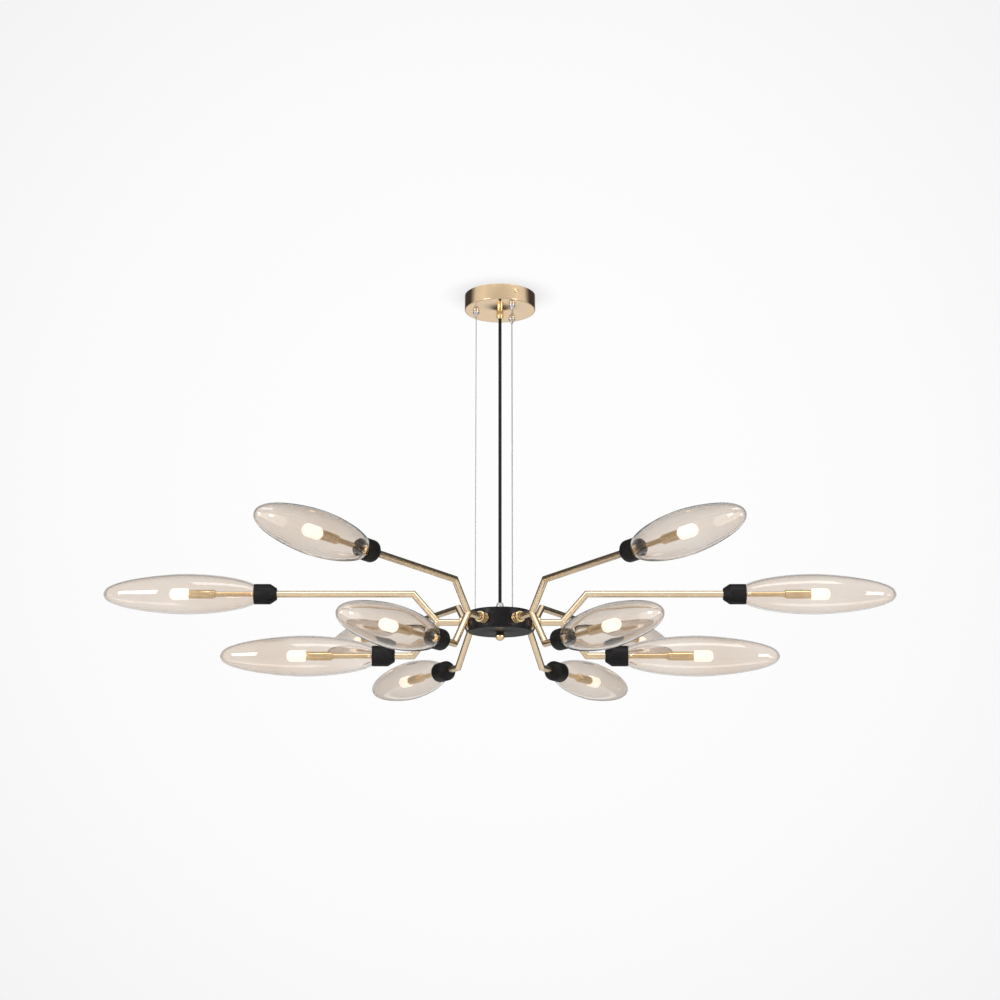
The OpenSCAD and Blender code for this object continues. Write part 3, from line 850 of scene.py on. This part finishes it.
class Room:
    """The world's nodes: grey levels worked out from the way a ray points."""

    def __init__(self):
        world = bpy.data.worlds.new("studio")
        bpy.context.scene.world = world
        world.use_nodes = True
        self.tree = world.node_tree
        self.tree.nodes.clear()
        self.way = self.tree.nodes.new("ShaderNodeTexCoord").outputs["Generated"]
        split = self.tree.nodes.new("ShaderNodeSeparateXYZ")
        self.link(self.way, split.inputs["Vector"])
        self.depth, self.height = split.outputs["Y"], split.outputs["Z"]
        self.path = self.tree.nodes.new("ShaderNodeLightPath")

    def link(self, out, into):
        self.tree.links.new(out, into)

    def remapped(self, out, from_min, from_max, to_min=0.0, to_max=1.0):
        node = self.tree.nodes.new("ShaderNodeMapRange")
        for key, value in (("From Min", from_min), ("From Max", from_max),
                           ("To Min", to_min), ("To Max", to_max)):
            node.inputs[key].default_value = value
        self.link(out, node.inputs["Value"])
        return node.outputs["Result"]

    def combined(self, operation, one, two):
        node = self.tree.nodes.new("ShaderNodeMath")
        node.operation = operation
        for socket, value in zip(node.inputs, (one, two)):
            if isinstance(value, float):
                socket.default_value = value
            else:
                self.link(value, socket)
        return node.outputs["Value"]

    def levels(self, fac, stops):
        node = self.tree.nodes.new("ShaderNodeValToRGB")
        ramp = node.color_ramp
        while len(ramp.elements) < len(stops):
            ramp.elements.new(0.5)
        for element, (at, level) in zip(ramp.elements, stops):
            element.position = at
            element.color = (level, level, level, 1)
        self.link(fac, node.inputs["Fac"])
        return node.outputs["Color"]

    def background(self, level):
        node = self.tree.nodes.new("ShaderNodeBackground")
        self.link(level, node.inputs["Color"])
        return node.outputs["Background"]

    def chosen(self, ray, otherwise, when):
        """One background for rays of a kind, such as camera rays, and another for the rest."""
        node = self.tree.nodes.new("ShaderNodeMixShader")
        self.link(self.path.outputs[ray], node.inputs["Fac"])
        self.link(otherwise, node.inputs[1])
        self.link(when, node.inputs[2])
        return node.outputs["Shader"]


def mirrored_level(room):
    """What metal mirrors: light in front, dark behind from eye level down, and a pale floor."""
    depth = room.remapped(room.depth, -1, 1)
    ring = room.levels(depth, [(0.0, 0.70), (0.25, 1.0), (0.48, 0.85), (0.58, 0.35), (0.67, 0.06),
                               (0.92, 0.06), (0.97, 0.40)])
    behind = room.remapped(room.depth, 0.25, 0.40)
    below = room.remapped(room.height, 0.08, -0.02)
    above_floor = room.remapped(room.height, -0.32, -0.24)
    dark = room.combined("MULTIPLY", room.combined("MULTIPLY", behind, below), above_floor)
    share = room.combined("SUBTRACT", 1.0, room.combined("MULTIPLY", dark, 0.85))
    floor_level = room.remapped(room.height, -0.25, -0.29, 0.0, 0.92)
    return room.combined("MAXIMUM", room.combined("MULTIPLY", ring, share), floor_level)


def glass_level(room):
    """What is seen through glass, less dark at the sides than what metal mirrors."""
    depth = room.remapped(room.depth, -1, 1)
    return room.levels(depth, [(0.0, 0.75), (0.30, 0.95), (0.60, 0.70), (0.72, 0.42),
                               (0.88, 0.55), (0.94, 1.0)])


def backdrop_level(room):
    """What the camera sees, fading a little away from the middle of its view."""
    pitch = math.radians(CAMERA_PITCH)
    centre = room.tree.nodes.new("ShaderNodeVectorMath")
    centre.operation = "DOT_PRODUCT"
    room.link(room.way, centre.inputs[0])
    centre.inputs[1].default_value = (0, math.cos(pitch), math.sin(pitch))
    near = room.remapped(centre.outputs["Value"], 0.93, 0.995)
    return room.levels(near, [(0.0, 0.905), (1.0, 0.985)])


def studio():
    room = Room()
    around = room.chosen("Is Transmission Ray", room.background(mirrored_level(room)),
                         room.background(glass_level(room)))
    seen = room.chosen("Is Camera Ray", around, room.background(backdrop_level(room)))
    out = room.tree.nodes.new("ShaderNodeOutputWorld")
    room.link(seen, out.inputs["Surface"])
    middle = (0, 0, port_z)
    area_light("key", (-1.8, -2.0, -0.35), middle, (1.0, 1.0), 24)
    area_light("fill", (2.0, -1.8, -0.6), middle, (0.7, 1.0), 14)
    area_light("top", (0.2, -0.9, 1.1), middle, (1.8, 0.6), 10)
    area_light("under", (0.0, -0.8, -2.2), middle, (2.4, 0.4), 12)
    bpy.context.scene.view_settings.view_transform = "Standard"


def ceiling_shadow():
    """Soft shadow that the canopy leaves on the ceiling: a ring that fades outwards."""
    rings, sides = 24, 96
    inner, outer = canopy_r - 1 * MM, 100 * MM
    bm = bmesh.new()
    made = []
    for i in range(rings + 1):
        radius = inner + (outer - inner) * i / rings
        made.append([bm.verts.new((radius * math.cos(2 * math.pi * k / sides),
                                   radius * math.sin(2 * math.pi * k / sides), canopy_top))
                     for k in range(sides)])
    stitched(bm, made)
    mesh = bpy.data.meshes.new("ceiling_shadow")
    bm.to_mesh(mesh)
    bm.free()
    piece = bpy.data.objects.new("ceiling_shadow", mesh)
    bpy.context.scene.collection.objects.link(piece)
    s = Shader("shadow_tone", (0.16, 0.15, 0.14), 0.0, 1.0)
    length = s.tree.nodes.new("ShaderNodeVectorMath")
    length.operation = "LENGTH"
    s.link(s.coords, length.inputs[0])
    spread = s.span(length.outputs["Value"], 0.36, 0.0, inner, outer)
    falloff = s.tree.nodes.new("ShaderNodeMath")
    falloff.operation = "POWER"
    falloff.inputs[1].default_value = 1.6
    s.link(spread, falloff.inputs[0])
    s.link(falloff.outputs["Value"], s.bsdf.inputs["Alpha"])
    mesh.materials.append(s.mat)
    piece.visible_shadow = False
    piece.visible_glossy = False
    piece.visible_diffuse = False
    piece.visible_transmission = False


def floor():
    bpy.ops.mesh.primitive_plane_add(size=6, location=(0, 0, -1.75))
    plane = bpy.context.object
    plane.name = "floor"
    s = Shader("floor_paint", (0.88, 0.88, 0.87), 0.0, 0.7)
    s.tint(s.noise(3, 3), (0.86, 0.86, 0.85), (0.90, 0.90, 0.89))
    plane.data.materials.append(s.mat)


camera()
for number in range(1, len(CABLE_AZ) + 1):
    wire_cable(number)
cord()
canopy()
side_screws()
glands()
grippers()
hub()
ball_finial()
ports()
arms()
collars()
lampholders()
lamps()
shades()
kept_nodes()
studio()
ceiling_shadow()
floor()
